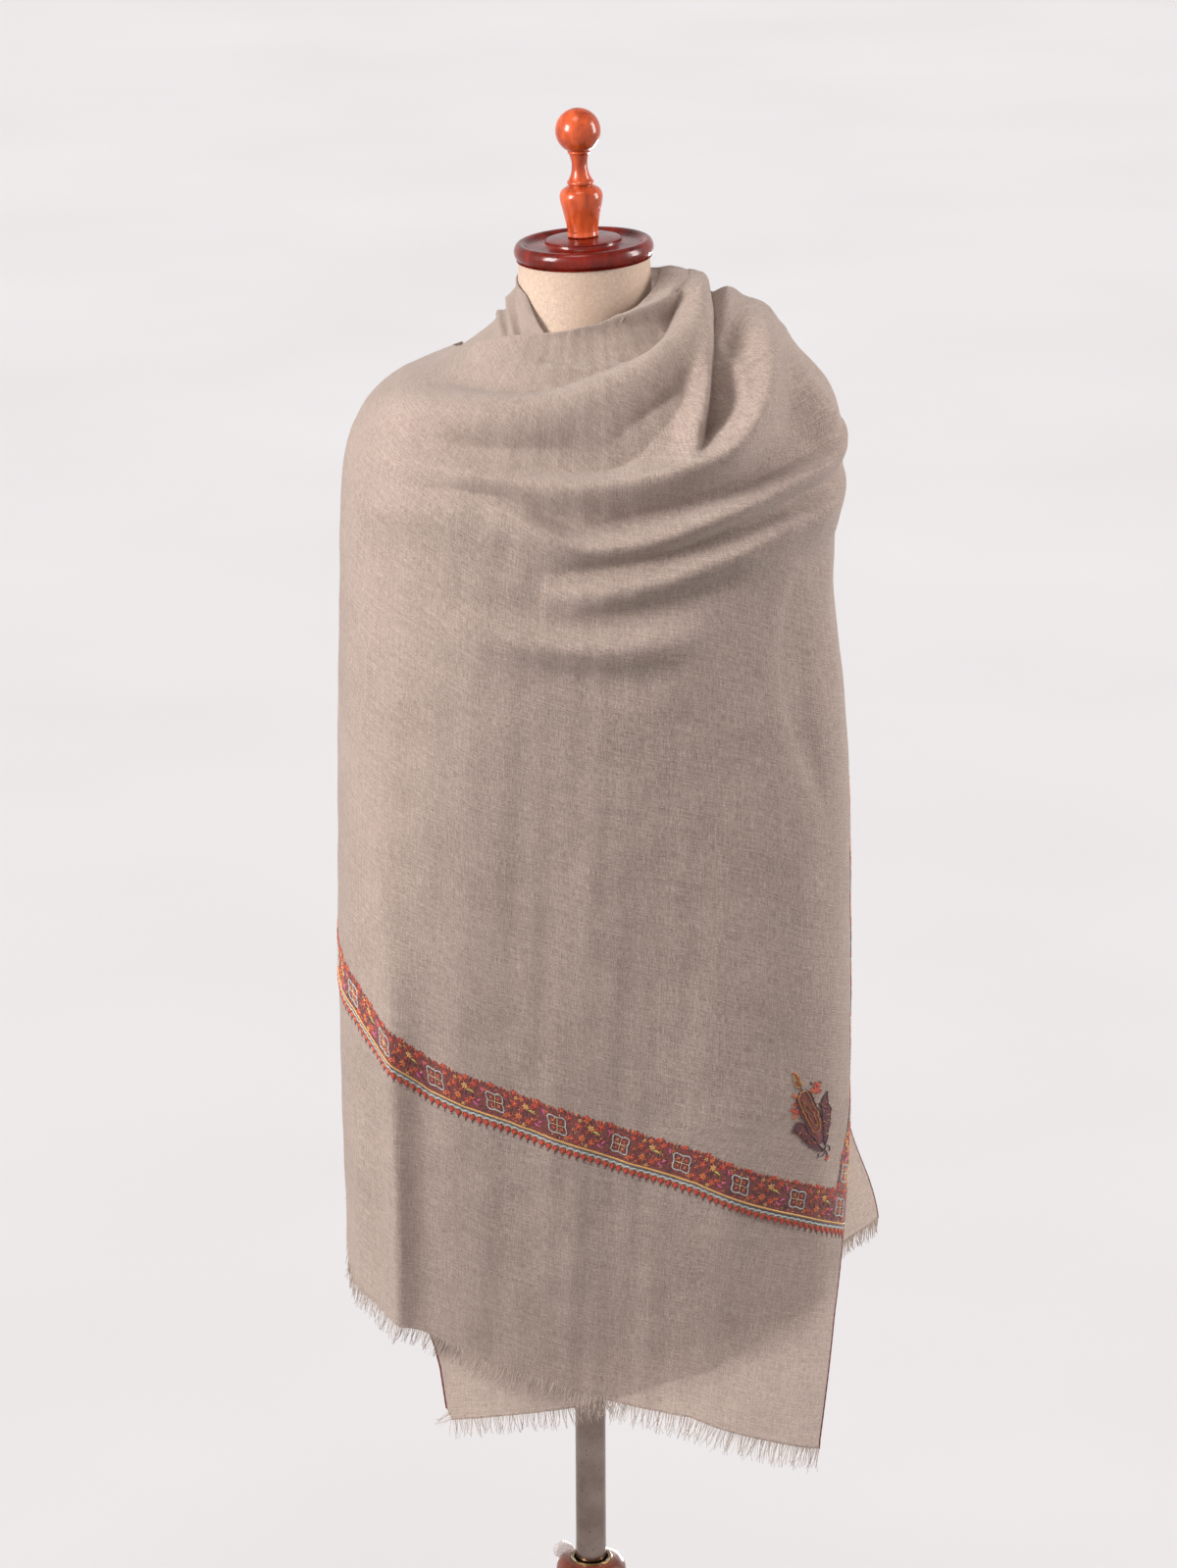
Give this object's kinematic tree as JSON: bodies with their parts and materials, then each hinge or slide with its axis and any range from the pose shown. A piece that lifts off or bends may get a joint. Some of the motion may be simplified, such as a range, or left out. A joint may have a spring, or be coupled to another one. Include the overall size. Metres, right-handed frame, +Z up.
{
  "type": "pashmina shawl on a dress form",
  "caption": "Embroidered, fringed pashmina shawl wound across the front and over one shoulder of a limbless dress form on a three-legged wooden stand.",
  "frame": {"origin": "on the floor, under the middle of the bounding box; the pole stands 73.6 mm behind it", "axes": "+Z up, +X to the viewer's right, the front of the form faces -Y"},
  "size_m": [0.562, 0.4868, 1.6733],
  "materials": {
    "pashmina": "fine heathered twill, taupe, soft matt nap, slightly see-through",
    "fringe": "loose taupe yarn ends",
    "linen": "smooth beige jersey cover",
    "mahogany": "dark red-brown, glossy varnish",
    "cherry": "orange-red-brown, glossy varnish",
    "stand_wood": "red-brown, satin varnish",
    "chrome": "polished, lightly pitted",
    "brass": "dull, darkened",
    "clear_plastic": "clear, slightly cloudy"
  },
  "bodies": {
    "root": {"shawl_over": "pashmina", "shawl_under": "pashmina", "shawl_back": "pashmina", "fringe_over": "fringe", "fringe_under": "fringe", "form_torso": "linen", "neck_cap": "mahogany", "finial": "cherry", "pole": "chrome", "base_collar": "brass", "base_hub": "stand_wood", "base_leg_1": "stand_wood", "base_leg_2": "stand_wood", "base_leg_3": "stand_wood", "lock_screw": "chrome", "lock_knob": "clear_plastic"}
  },
  "joints": []
}
